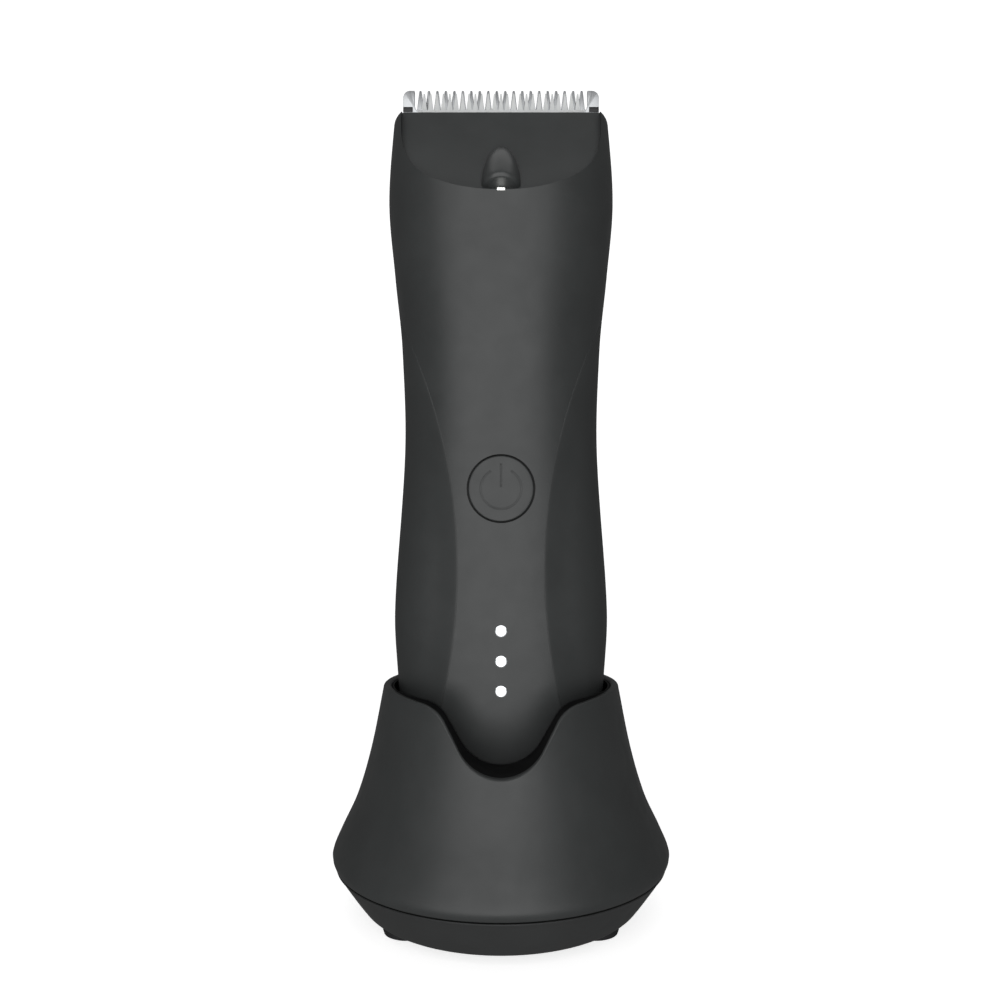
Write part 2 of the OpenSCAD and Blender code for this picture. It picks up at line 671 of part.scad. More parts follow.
module blade_spring() color("#c9ccd0") difference() {
    translate([0, -3.32, 0]) rotate([90, 0, 0]) translate([0, 0, -0.3]) linear_extrude(0.3) union() {
        translate([-14.4, head_z - 4.3]) square([28.8, 1.4]);
        for (s = [-1, 1]) translate([s * 12.5 - 1.9, head_z - 7]) square([3.8, 3]);
    }
    for (x = [-12.5, 12.5]) translate([x, 0, blade_screw_z]) rod_y(1.1, -5, 0);
}

module blade_screws() color("#8b8e92") for (x = [-12.5, 12.5])
    translate([x, 0, blade_screw_z]) difference() {
    union() {
        rod_y(1.8, -4.3, -3.36);
        rod_y(1, -3.4, -0.05);
        rod_y(1.6, -2.98, plate_y - 0.02);
    }
    rotate([-90, 0, 0]) translate([0, 0, -4.4]) cylinder(r = 0.9, h = 0.7, $fn = 6);
}

stand_shell();
stand_base();
pocket_liner();
stand_feet();
stand_screws();
ballast_ring();
stand_board();
charge_socket();
contact_block();
left_charge_pin();
right_charge_pin();
left_pin_spring();
right_pin_spring();
front_shell();
rear_shell();
left_grip();
right_grip();
end_cap();
charge_pads();
shell_screws();
chassis();
battery();
battery_foam();
main_board();
tact_switch();
switch_plunger();
power_button();
button_seal();
indicator_lights();
lamp_hood();
lamp_lens();
lamp_led();
motor();
motor_holder();
holder_screws();
eccentric();
blade_carrier();
fixed_comb();
moving_blade();
drive_fork();
blade_spring();
blade_screws();
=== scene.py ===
import json
import math

import bmesh
import bpy
import numpy as np
from mathutils import Matrix, Vector


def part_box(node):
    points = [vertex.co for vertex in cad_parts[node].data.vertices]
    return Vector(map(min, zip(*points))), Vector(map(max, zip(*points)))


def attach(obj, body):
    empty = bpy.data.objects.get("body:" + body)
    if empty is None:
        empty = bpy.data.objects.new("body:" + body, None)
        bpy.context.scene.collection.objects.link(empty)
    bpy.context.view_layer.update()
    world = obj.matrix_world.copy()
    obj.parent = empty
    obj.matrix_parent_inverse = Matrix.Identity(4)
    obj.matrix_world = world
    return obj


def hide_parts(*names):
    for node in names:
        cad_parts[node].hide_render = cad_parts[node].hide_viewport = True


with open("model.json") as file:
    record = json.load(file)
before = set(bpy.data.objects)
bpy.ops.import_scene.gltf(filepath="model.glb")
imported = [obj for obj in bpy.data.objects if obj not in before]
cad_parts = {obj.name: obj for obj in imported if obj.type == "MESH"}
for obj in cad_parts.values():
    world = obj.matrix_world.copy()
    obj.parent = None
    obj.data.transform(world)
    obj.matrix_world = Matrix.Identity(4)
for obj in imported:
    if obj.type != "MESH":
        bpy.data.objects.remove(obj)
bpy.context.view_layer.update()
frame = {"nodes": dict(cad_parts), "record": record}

MM = 0.001


def box_mm(node):
    """A node's lowest and highest corner in millimetres."""
    lo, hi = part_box(node)
    return np.array(lo) / MM, np.array(hi) / MM


# ---------------------------------------------------------------- sizes, in millimetres
SHELL_LO, SHELL_HI = box_mm("front_shell")
CAP_LO, CAP_HI = box_mm("end_cap")
STAND_HI = box_mm("stand_shell")[1]
BASE_LO, BASE_HI = box_mm("stand_base")
REAR_HI = box_mm("rear_shell")[1]
KEY_LO, KEY_HI = box_mm("button_seal")
DOT_LO, DOT_HI = box_mm("indicator_lights")
COMB_LO, COMB_HI = box_mm("fixed_comb")
CUT_LO, CUT_HI = box_mm("moving_blade")
SOCKET_LO, SOCKET_HI = box_mm("charge_socket")
LENS_LO, LENS_HI = box_mm("lamp_lens")

HEAD_Z = SHELL_HI[2]
FOOT_Z = CAP_LO[2]
CAP_Z = SHELL_LO[2]
STAND_TOP = STAND_HI[2]
SEAM_Z = BASE_HI[2] + 0.3
REAR_TOP = REAR_HI[2]
KEY_Z = (KEY_LO[2] + KEY_HI[2]) / 2
BORE_R = (KEY_HI[2] - KEY_LO[2]) / 2 + 0.02
DOT_R = (DOT_HI[0] - DOT_LO[0]) / 2
DOT_Z = np.linspace(DOT_LO[2] + DOT_R, DOT_HI[2] - DOT_R, 3)

SQUARENESS = 2.3
FOOT_ROUND = 3.0
HEAD_ROUND = 1.8
WALL = 2.6
HEAD_WALL = 1.4
LIP_Z = 139.0
FACE_Y = (-14.6, -5.0)
FACE_LEAN = (FACE_Y[1] - FACE_Y[0]) / (HEAD_Z - LIP_Z)
GRIP_CENTRE = (111.45, 69.0)
GRIP_ARC = 103.5
GRIP_T = 0.9
POCKET_GAP = 0.5

# Stations of the trimmer: height, half width, depth to the front, depth to the rear
TRIM = np.array([
    (9, 14.6, 10.2, 10.2), (20, 18.3, 11.6, 12.8), (35, 20.4, 13, 14.6), (50, 21.4, 15.3, 15.6),
    (60, 21.7, 15.85, 16.2), (80, 20.45, 16, 16.6), (98, 19.45, 16, 16.4), (112, 19.6, 16.1, 15.8),
    (126, 21, 16.4, 14.6), (141, 22.2, 16.5, 12.2), (160, 20.9, 16, 7.6)])
# Stations of the stand: height, radius
STAND = np.array([(11.3, 32.7), (13, 33.2), (16.6, 31.8), (23.7, 28.5), (33.2, 25.7), (45.7, 23.2)])
STAND_WALL = 2.0
RIM_WALL = 1.6


def curve(stations, z, k=1):
    """Smooth curve through the stations, at heights z."""
    h, v = stations[:, 0], stations[:, k]
    z = np.asarray(z, float)
    lo = np.maximum(np.arange(len(h)) - 1, 0)
    hi = np.minimum(np.arange(len(h)) + 1, len(h) - 1)
    slope = (v[hi] - v[lo]) / (h[hi] - h[lo])
    i = np.clip(np.searchsorted(h, z) - 1, 0, len(h) - 2)
    step = h[i + 1] - h[i]
    t = (z - h[i]) / step
    return (v[i] * (1 + 2 * t) * (1 - t) ** 2 + v[i + 1] * t ** 2 * (3 - 2 * t)
            + step * slope[i] * t * (1 - t) ** 2 - step * slope[i + 1] * t ** 2 * (1 - t))


def stand_in(z):
    """Inside radius of the stand's shell, whose wall thins towards the rim."""
    return curve(STAND, z) - STAND_WALL + (STAND_WALL - RIM_WALL) * np.clip((z - 30) / 8, 0, 1)


def smooth(t):
    t = np.clip(t, 0, 1)
    return t * t * (3 - 2 * t)


def ease(t):
    return 1 - np.sqrt(1 - np.clip(t, 0, 1) ** 2)


def edge_inset(z):
    return (FOOT_ROUND * ease((FOOT_Z + FOOT_ROUND - z) / FOOT_ROUND)
            + HEAD_ROUND * ease((z - HEAD_Z + HEAD_ROUND) / HEAD_ROUND))


def bend(v):
    return np.sign(v) * np.abs(v) ** (2 / SQUARENESS)


def skin(z, a, off=0.0):
    """Points of the trimmer's surface at heights z and angles a in degrees, moved inward by off."""
    z, a, off = np.broadcast_arrays(np.asarray(z, float), np.radians(a), off)
    inset = off + edge_inset(z)
    depth = np.where(np.sin(a) < 0, curve(TRIM, z, 2), curve(TRIM, z, 3)) - inset
    return np.stack([(curve(TRIM, z, 1) - inset) * bend(np.cos(a)), depth * bend(np.sin(a)), z], -1)


def face_y(z):
    return FACE_Y[0] + (z - LIP_Z) * FACE_LEAN


def inner_skin(z, a):
    """Inside of the shells, kept behind the slanted face."""
    thick = WALL - (WALL - HEAD_WALL) * np.clip((z - 128) / 12, 0, 1)
    p = skin(z, a, thick)
    limit = np.minimum(-0.6, face_y(p[..., 2]) + HEAD_WALL)
    front = (p[..., 2] > LIP_Z - 3) & (p[..., 1] < limit)
    p[..., 1] = np.where(front, limit, p[..., 1])
    return p


# ---------------------------------------------------------------- mesh tools
def new_object(name, verts, faces):
    mesh = bpy.data.meshes.new(name)
    mesh.from_pydata([tuple(v) for v in np.asarray(verts) * MM], [], [tuple(f) for f in faces])
    bm = bmesh.new()
    bm.from_mesh(mesh)
    bmesh.ops.remove_doubles(bm, verts=bm.verts, dist=1e-7)
    bmesh.ops.dissolve_degenerate(bm, edges=bm.edges, dist=1e-7)
    bmesh.ops.recalc_face_normals(bm, faces=bm.faces)
    bm.to_mesh(mesh)
    bm.free()
    obj = bpy.data.objects.new(name, mesh)
    bpy.context.scene.collection.objects.link(obj)
    return obj


def grid_faces(rows, cols, wrap_cols=False, wrap_rows=False):
    i = np.arange(rows if wrap_rows else rows - 1)[:, None]
    j = np.arange(cols if wrap_cols else cols - 1)[None, :]
    a = i * cols + j
    b = i * cols + (j + 1) % cols
    c = ((i + 1) % rows) * cols + (j + 1) % cols
    d = ((i + 1) % rows) * cols + j
    return np.stack([a, b, c, d], -1).reshape(-1, 4).tolist()


def shell_between(name, outer, inner):
    """Closed solid between two grids of the same shape, open at neither rim."""
    rows, cols = outer.shape[:2]
    loop = np.concatenate([outer, inner[:, ::-1]], 1)
    faces = grid_faces(rows, 2 * cols, wrap_cols=True)
    for row in (0, rows - 1):
        start = row * 2 * cols
        for j in range(cols - 1):
            faces.append([start + j, start + j + 1, start + 2 * cols - 2 - j,
                          start + 2 * cols - 1 - j])
    return new_object(name, loop.reshape(-1, 3), faces)


def turned(name, profile, segments=192, closed=False):
    """Solid of revolution about Z. An open profile starts and ends on the axis."""
    r, z = np.array(profile, float).T
    phi = np.linspace(0, 2 * math.pi, segments, endpoint=False)
    points = np.stack([r[:, None] * np.sin(phi), -r[:, None] * np.cos(phi),
                       np.repeat(z[:, None], segments, 1)], -1)
    faces = grid_faces(len(r), segments, wrap_cols=True, wrap_rows=closed)
    return new_object(name, points.reshape(-1, 3), faces)


def prism(name, outline, y0, y1):
    """Outline in X and Z, extruded from y0 to y1. Either may be a function of the height."""
    outline = np.array(outline, float)
    n = len(outline)
    ends = [np.array([v(z) if callable(v) else v for z in outline[:, 1]]) for v in (y0, y1)]
    points = [np.stack([outline[:, 0], y, outline[:, 1]], -1) for y in ends]
    faces = [list(range(n)), list(range(2 * n - 1, n - 1, -1))]
    faces += [[i, (i + 1) % n, n + (i + 1) % n, n + i] for i in range(n)]
    return new_object(name, np.concatenate(points), faces)


def block(name, lo, hi):
    (x0, y0, z0), (x1, y1, z1) = lo, hi
    return prism(name, [(x0, z0), (x1, z0), (x1, z1), (x0, z1)], y0, y1)


def rod_y(name, r, y0, y1, x=0.0, z=0.0, segments=64):
    t = np.linspace(0, 2 * math.pi, segments, endpoint=False)
    return prism(name, np.stack([x + r * np.cos(t), z + r * np.sin(t)], -1), y0, y1)


def settle(obj):
    """Applies the object's modifiers."""
    graph = bpy.context.evaluated_depsgraph_get()
    mesh = bpy.data.meshes.new_from_object(obj.evaluated_get(graph))
    old = obj.data
    obj.modifiers.clear()
    obj.data = mesh
    bpy.data.meshes.remove(old)
    mesh.name = obj.name
    return obj


def boolean(obj, cutters, operation="DIFFERENCE"):
    for cutter in cutters:
        mod = obj.modifiers.new("cut", "BOOLEAN")
        mod.operation, mod.solver, mod.object = operation, "EXACT", cutter
    settle(obj)
    for cutter in cutters:
        mesh = cutter.data
        bpy.data.objects.remove(cutter)
        bpy.data.meshes.remove(mesh)
    return obj


def bevel(obj, width, segments=2, angle=35):
    mod = obj.modifiers.new("bevel", "BEVEL")
    mod.width, mod.segments, mod.limit_method = width * MM, segments, "ANGLE"
    mod.angle_limit = math.radians(angle)
    return settle(obj)


def join(name, parts):
    bm = bmesh.new()
    for part in parts:
        bm.from_mesh(part.data)
        mesh = part.data
        bpy.data.objects.remove(part)
        bpy.data.meshes.remove(mesh)
    mesh = bpy.data.meshes.new(name)
    bm.to_mesh(mesh)
    bm.free()
    obj = bpy.data.objects.new(name, mesh)
    bpy.context.scene.collection.objects.link(obj)
    return obj


def dress(obj, body, slot, *nodes, sharp=32):
    """Shades a piece, gives it its slot's material and puts it on its body."""
    mesh = obj.data
    mesh.shade_smooth()
    mesh.set_sharp_from_angle(angle=math.radians(sharp))
    mesh.materials.clear()
    mesh.materials.append(material(slot))
    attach(obj, body)
    if nodes:
        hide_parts(*nodes)
    return obj


# ---------------------------------------------------------------- materials
class Nodes:
    """Short names for building a material's nodes."""

    def __init__(self, name):
        self.mat = bpy.data.materials.new(name)
        self.mat.use_nodes = True
        self.tree = self.mat.node_tree
        self.tree.nodes.clear()
        self.out = self.add("ShaderNodeOutputMaterial")
        self.shader = self.add("ShaderNodeBsdfPrincipled")
        self.link(self.shader.outputs[0], self.out.inputs["Surface"])
        self.coords = self.add("ShaderNodeTexCoord").outputs["Object"]

    def add(self, kind, **values):
        node = self.tree.nodes.new(kind)
        for key, value in values.items():
            setattr(node, key, value)
        return node

    def link(self, a, b):
        self.tree.links.new(a, b)

    def noise(self, scale, detail=3.0, stretch=None):
        vector = self.coords
        if stretch:
            mapping = self.add("ShaderNodeMapping")
            mapping.inputs["Scale"].default_value = stretch
            self.link(vector, mapping.inputs["Vector"])
            vector = mapping.outputs[0]
        node = self.add("ShaderNodeTexNoise")
        node.inputs["Scale"].default_value = scale
        node.inputs["Detail"].default_value = detail
        self.link(vector, node.inputs["Vector"])
        return node.outputs["Fac"]

    def ramp(self, fac, stops):
        node = self.add("ShaderNodeValToRGB")
        for element, (pos, value) in zip(
                list(node.color_ramp.elements) + [node.color_ramp.elements.new(0.5) for _ in stops[2:]],
                stops):
            element.position = pos
            rgb = value if isinstance(value, tuple) else (value,) * 3
            element.color = (*rgb, 1)
        self.link(fac, node.inputs["Fac"])
        return node.outputs["Color"]

    def bump(self, height, strength, distance, under=None):
        node = self.add("ShaderNodeBump")
        node.inputs["Strength"].default_value = strength
        node.inputs["Distance"].default_value = distance
        self.link(height, node.inputs["Height"])
        if under:
            self.link(under, node.inputs["Normal"])
        return node.outputs["Normal"]


def shade(color, factor):
    return tuple(min(1.0, c * factor) for c in color)


def plastic(name, color, rough, grain=9000, grain_depth=0.25, sheen=0.0, specular=0.4):
    """Moulded plastic or rubber: faint cloudy tone, spread of roughness, fine grain and scuffs."""
    n = Nodes(name)
    cloud = n.noise(90, 4)
    n.link(n.ramp(cloud, [(0.3, shade(color, 0.93)), (0.7, shade(color, 1.07))]),
           n.shader.inputs["Base Color"])
    patch = n.noise(260, 5)
    n.link(n.ramp(patch, [(0.3, rough - 0.05), (0.75, rough + 0.06)]), n.shader.inputs["Roughness"])
    grain_bump = n.bump(n.noise(grain, 2), grain_depth, 0.00004)
    n.link(n.bump(n.noise(420, 2), 0.06, 0.0001, grain_bump), n.shader.inputs["Normal"])
    n.shader.inputs["Specular IOR Level"].default_value = specular
    if sheen:
        n.shader.inputs["Sheen Weight"].default_value = sheen
        n.shader.inputs["Sheen Roughness"].default_value = 0.5
    return n.mat


def metal(name, color, rough, stretch=(1, 1, 18), scale=900, depth=0.2):
    """Metal with fine grinding lines along one direction."""
    n = Nodes(name)
    lines = n.noise(scale, 3, stretch)
    n.link(n.ramp(lines, [(0.25, shade(color, 0.88)), (0.8, shade(color, 1.08))]),
           n.shader.inputs["Base Color"])
    n.link(n.ramp(lines, [(0.2, rough - 0.08), (0.8, rough + 0.1)]), n.shader.inputs["Roughness"])
    n.link(n.bump(lines, depth, 0.00003), n.shader.inputs["Normal"])
    n.shader.inputs["Metallic"].default_value = 1.0
    return n.mat


def ceramic(name, color, rough):
    n = Nodes(name)
    cloud = n.noise(300, 3)
    n.link(n.ramp(cloud, [(0.3, shade(color, 0.95)), (0.7, shade(color, 1.03))]),
           n.shader.inputs["Base Color"])
    grind = n.noise(1500, 2, (16, 1, 1))
    n.link(n.ramp(grind, [(0.3, rough - 0.05), (0.7, rough + 0.08)]), n.shader.inputs["Roughness"])
    n.link(n.bump(grind, 0.12, 0.00002), n.shader.inputs["Normal"])
    n.shader.inputs["Subsurface Weight"].default_value = 0.1
    n.shader.inputs["Subsurface Radius"].default_value = (0.0006, 0.0006, 0.0005)
    return n.mat


def glowing(name, color, strength):
    """Diffusing lens lit from inside, a little uneven."""
    n = Nodes(name)
    cloud = n.noise(1500, 2)
    tone = n.ramp(cloud, [(0.2, shade(color, 0.93)), (0.8, color)])
    n.link(tone, n.shader.inputs["Base Color"])
    n.link(tone, n.shader.inputs["Emission Color"])
    n.shader.inputs["Emission Strength"].default_value = strength
    n.link(n.ramp(cloud, [(0.2, 0.2), (0.8, 0.3)]), n.shader.inputs["Roughness"])
    n.link(n.bump(cloud, 0.05, 0.00002), n.shader.inputs["Normal"])
    return n.mat


MAKERS = {
    "stand_plastic": lambda s: plastic(s, (0.031, 0.033, 0.033), 0.44),
    "base_plastic": lambda s: plastic(s, (0.026, 0.027, 0.027), 0.50),
    "liner_plastic": lambda s: plastic(s, (0.004, 0.004, 0.0042), 0.6, specular=0.12),
    "foot_rubber": lambda s: plastic(s, (0.012, 0.012, 0.013), 0.65, 5000, 0.4, specular=0.3),
    "shell_plastic": lambda s: plastic(s, (0.031, 0.033, 0.033), 0.42),
    "grip_rubber": lambda s: plastic(s, (0.030, 0.032, 0.032), 0.50, 7000, 0.35),
    "button_plastic": lambda s: plastic(s, (0.031, 0.033, 0.033), 0.42),
    "seal_rubber": lambda s: plastic(s, (0.003, 0.003, 0.003), 0.6, 5000, 0.3, specular=0.25),
    "black_plastic": lambda s: plastic(s, (0.009, 0.009, 0.010), 0.42),
    "frame_plastic": lambda s: plastic(s, (0.05, 0.05, 0.055), 0.45, 5000, 0.3),
    "lamp_plastic": lambda s: plastic(s, (0.036, 0.038, 0.038), 0.34, 6000, 0.1),
    "foam": lambda s: plastic(s, (0.02, 0.02, 0.02), 0.85, 2500, 0.9, specular=0.2),
    "battery_wrap": lambda s: plastic(s, (0.03, 0.11, 0.36), 0.28, 3000, 0.15, specular=0.5),
    "circuit_board": lambda s: plastic(s, (0.012, 0.10, 0.04), 0.35, 2500, 0.5, specular=0.5),
    "screw_steel": lambda s: metal(s, (0.46, 0.47, 0.49), 0.34),
    "connector_steel": lambda s: metal(s, (0.60, 0.60, 0.62), 0.30),
    "spring_steel": lambda s: metal(s, (0.62, 0.62, 0.64), 0.26),
    "motor_steel": lambda s: metal(s, (0.52, 0.53, 0.55), 0.36, (1, 1, 30)),
    "shaft_steel": lambda s: metal(s, (0.66, 0.66, 0.68), 0.2, (1, 1, 40)),
    "comb_steel": lambda s: metal(s, (0.42, 0.43, 0.44), 0.34, (14, 1, 1), 700),
    "ballast_iron": lambda s: metal(s, (0.2, 0.2, 0.205), 0.62, (1, 1, 1), 500, 0.7),
    "gold_contact": lambda s: metal(s, (0.85, 0.62, 0.26), 0.25),
    "blade_ceramic": lambda s: ceramic(s, (0.55, 0.56, 0.56), 0.32),
    "indicator_white": lambda s: glowing(s, (0.95, 0.97, 1.0), 1.6),
    "lamp_white": lambda s: glowing(s, (1.0, 1.0, 0.97), 2.5),
}
_made = {}


def material(slot):
    if slot not in _made:
        _made[slot] = MAKERS[slot](slot)
    return _made[slot]


SLOT_OF = {s["node"]: s["material_slot"] for s in frame["record"]["subparts"]}
for node_name, cad_object in frame["nodes"].items():
    cad_object.data.materials.clear()
    cad_object.data.materials.append(material(SLOT_OF[node_name]))


# ---------------------------------------------------------------- trimmer housing
SEAM_GROOVE = 0.14
SIDE_COLS = 84


def half_angles(a0):
    """Angles across one shell half, and the inset that opens a fine groove at its edges."""
    inner = np.linspace(0.5, 179.5, SIDE_COLS)
    angles = a0 + np.concatenate([[0.0], inner, [180.0]])
    groove = np.concatenate([[SEAM_GROOVE], np.zeros(SIDE_COLS), [SEAM_GROOVE]])
    return angles, groove


def housing_half(name, a0, z0, z1, round_top):
    angles, groove = half_angles(a0)
    lower = [z0, z0 + 0.2]
    if round_top:
        crown = z1 - HEAD_ROUND * (1 - np.sin(np.linspace(0, math.pi / 2, 9)))
        z = np.concatenate([lower, np.arange(z0 + 1, crown[0] - 0.4, 1.0), crown])
        edge = np.where(np.arange(len(z)) == 0, SEAM_GROOVE, 0.0)
    else:
        z = np.concatenate([lower, np.arange(z0 + 1, z1 - 0.4, 1.0), [z1 - 0.2, z1]])
        edge = np.where((np.arange(len(z)) == 0) | (np.arange(len(z)) == len(z) - 1),
                        SEAM_GROOVE, 0.0)
    off = np.maximum(groove[None, :], edge[:, None])
    return shell_between(name, skin(z[:, None], angles[None, :], off),
                         inner_skin(z[:, None], angles[None, :]))


def arc_half_angle(z, inset):
    """Angle from the trimmer's side at which the grip's bounding arc crosses its surface."""
    reach = GRIP_ARC - inset
    x = GRIP_CENTRE[0] - np.sqrt(np.maximum(reach ** 2 - (z - GRIP_CENTRE[1]) ** 2, 0))
    ratio = np.clip(x / curve(TRIM, z, 1), 0, 1)
    return np.degrees(np.arccos(ratio ** (SQUARENESS / 2)))


def grip_offset(z, a):
    """How far the grip lies below the shells: steep beside its edge, fading towards its ends."""
    p = skin(z, a)
    inside = GRIP_ARC - np.hypot(GRIP_CENTRE[0] - np.abs(p[..., 0]), p[..., 2] - GRIP_CENTRE[1])
    fade = (1 - smooth((p[..., 2] - 80) / 32)) * smooth((p[..., 2] - 22) / 16)
    return fade * (0.2 + 0.9 * np.sin(math.pi / 2 * np.clip(inside / 5.5, 0, 1)) ** 1.1
                   - 0.5 * smooth((inside - 5.5) / 9))


def grip_panel(name, side, inset, lift, thick, soft_edge):
    z_all = np.linspace(15, 125, 2001)
    open_rows = z_all[arc_half_angle(z_all, inset) > 3.0]
    middle, half = (open_rows[0] + open_rows[-1]) / 2, (open_rows[-1] - open_rows[0]) / 2
    z = middle - half * np.cos(np.linspace(0, math.pi, 110))
    edge = np.array([0.0, 0.35, 0.8, 1.5, 2.6])
    theta = arc_half_angle(z, inset)
    cols = []
    for side_end, deg in ((-1, edge), (1, edge[::-1])):
        cols.append(side_end * (theta[:, None] - deg[None, :] * np.minimum(1, theta[:, None] / 12)))
    body = np.linspace(-1, 1, 42)[None, 1:-1] * (
        theta - edge[-1] * np.minimum(1, theta / 12))[:, None]
    a = np.concatenate([cols[0], body, cols[1]], 1)
    rounding = np.zeros(a.shape[1])
    if soft_edge:
        drop = soft_edge * (1 - np.sqrt(1 - (1 - np.minimum(edge / edge[3], 1)) ** 2))
        rounding[:len(edge)] = drop
        rounding[-len(edge):] = drop[::-1]
    centre = 0.0 if side > 0 else 180.0
    angle = centre + side * a
    off = grip_offset(z[:, None], angle)
    outer = skin(z[:, None], angle, off + rounding[None, :] - lift)
    inner = skin(z[:, None], angle, off + thick)
    return shell_between(name, outer, inner)


def face_outline():
    """Outline of the slanted face seen from the front."""
    half, rise = 19.2, 17.8
    t = np.radians(np.linspace(0, 90, 41))
    side = np.stack([half * np.sin(t), LIP_Z + rise * (1 - np.abs(np.cos(t)) ** 0.62)], -1)
    top = [(half, HEAD_Z + 2), (-half, HEAD_Z + 2)]
    return list(map(tuple, side)) + top + [(-x, z) for x, z in side[:0:-1]]


def bar(name, outline, x0, x1):
    """Outline in Y and Z, extruded from x0 to x1."""
    outline = np.array(outline, float)
    n = len(outline)
    points = [np.column_stack([np.full(n, x), outline]) for x in (x0, x1)]
    faces = [list(range(n)), list(range(2 * n - 1, n - 1, -1))]
    faces += [[i, (i + 1) % n, n + (i + 1) % n, n + i] for i in range(n)]
    return new_object(name, np.concatenate(points), faces)


def face_cutter():
    """Everything in front of the slanted face, which is a little hollow."""
    z = np.linspace(LIP_Z - 3, HEAD_Z + 2, 40)
    sag = 0.6 * np.sin(math.pi * np.clip((z - LIP_Z) / (HEAD_Z - LIP_Z), 0, 1))
    line = list(zip(face_y(z) + sag, z))
    ahead = bar("ahead", [(-40, z[0])] + line + [(-40, z[-1])], -30, 30)
    return boolean(prism("face", face_outline(), -45.0, 30.0), [ahead], "INTERSECT")


def module_room():
    z0, z1 = REAR_TOP - 1, HEAD_Z + 1
    outline = [(-17.7, z0), (17.7, z0), (17.7, z1), (-17.7, z1)]
    return prism("room", outline, lambda z: face_y(z) + HEAD_WALL, 1.0)


front = housing_half("front_housing", 180, CAP_Z, HEAD_Z, True)
cutters = [face_cutter(), module_room(),
           rod_y("bore", BORE_R, -20, -10, z=KEY_Z, segments=96)]
cutters += [rod_y("dot", DOT_R + 0.14, -20, -10, z=z) for z in DOT_Z]
cutters += [grip_panel("pocket", s, 0.0, 1.2, GRIP_T + 0.06, 0) for s in (-1, 1)]
cutters.append(block("lens", LENS_LO - np.array([0.06, 1.5, 0.06]), LENS_HI + np.array([0.06, 0, 0.06])))
boolean(front, cutters)
dress(front, "trimmer", "shell_plastic", "front_shell")

SCREWS = [(11.0, 30.0, 4.35), (11.0, 136.0, 3.75)]
rear = housing_half("rear_housing", 0, CAP_Z, REAR_TOP, False)
cutters = [grip_panel("pocket", s, 0.0, 1.2, GRIP_T + 0.06, 0) for s in (-1, 1)]
cutters += [rod_y("screw", 2.05, float(curve(TRIM, z, 3)) - depth, 25, x=s * x, z=z)
            for x, z, depth in SCREWS for s in (-1, 1)]
boolean(rear, cutters)
dress(rear, "trimmer", "shell_plastic", "rear_shell")

for side, grip_name in ((-1, "left_grip"), (1, "right_grip")):
    pad = grip_panel(grip_name.replace("_", "_side_"), side, 0.05, 0.0, GRIP_T, 0.12)
    dress(pad, "trimmer", "grip_rubber", grip_name, sharp=50)


def foot_cap():
    a = np.linspace(0, 360, 168, endpoint=False)
    t = np.linspace(0, math.pi / 2, 9)
    z = np.concatenate([FOOT_Z + FOOT_ROUND * (1 - np.cos(t)), [CAP_HI[2] - 0.2, CAP_HI[2]]])
    off = np.zeros(len(z))
    off[-1] = SEAM_GROOVE
    outer = skin(z[:, None], a[None, :], off[:, None])
    inner_z = np.array([CAP_HI[2], FOOT_Z + 3.2, FOOT_Z + 2.4, FOOT_Z + 2.4])
    inner_off = np.array([2.4, 2.4, 3.2, 5.0])
    inner = skin(inner_z[:, None], a[None, :], (inner_off - edge_inset(inner_z))[:, None])
    ends = [np.tile(np.array([0.0, 0.0, v]), (1, len(a), 1)) for v in (FOOT_Z, FOOT_Z + 2.4)]
    points = np.concatenate([ends[0], outer, inner, ends[1]], 0)
    cap = new_object("foot_cap", points.reshape(-1, 3),
                     grid_faces(points.shape[0], len(a), wrap_cols=True))
    pads_lo, pads_hi = box_mm("charge_pads")
    r = (pads_hi[1] - pads_lo[1]) / 2
    drills = []
    for x in (pads_lo[0] + r, pads_hi[0] - r):
        drill = turned("drill", [(0, FOOT_Z - 1), (r + 0.05, FOOT_Z - 1), (r + 0.05, FOOT_Z + 4),
                                 (0, FOOT_Z + 4)], 64)
        drill.data.transform(Matrix.Translation((x * MM, 0, 0)))
        drills.append(drill)
    return boolean(cap, drills)


dress(foot_cap(), "trimmer", "base_plastic", "end_cap")


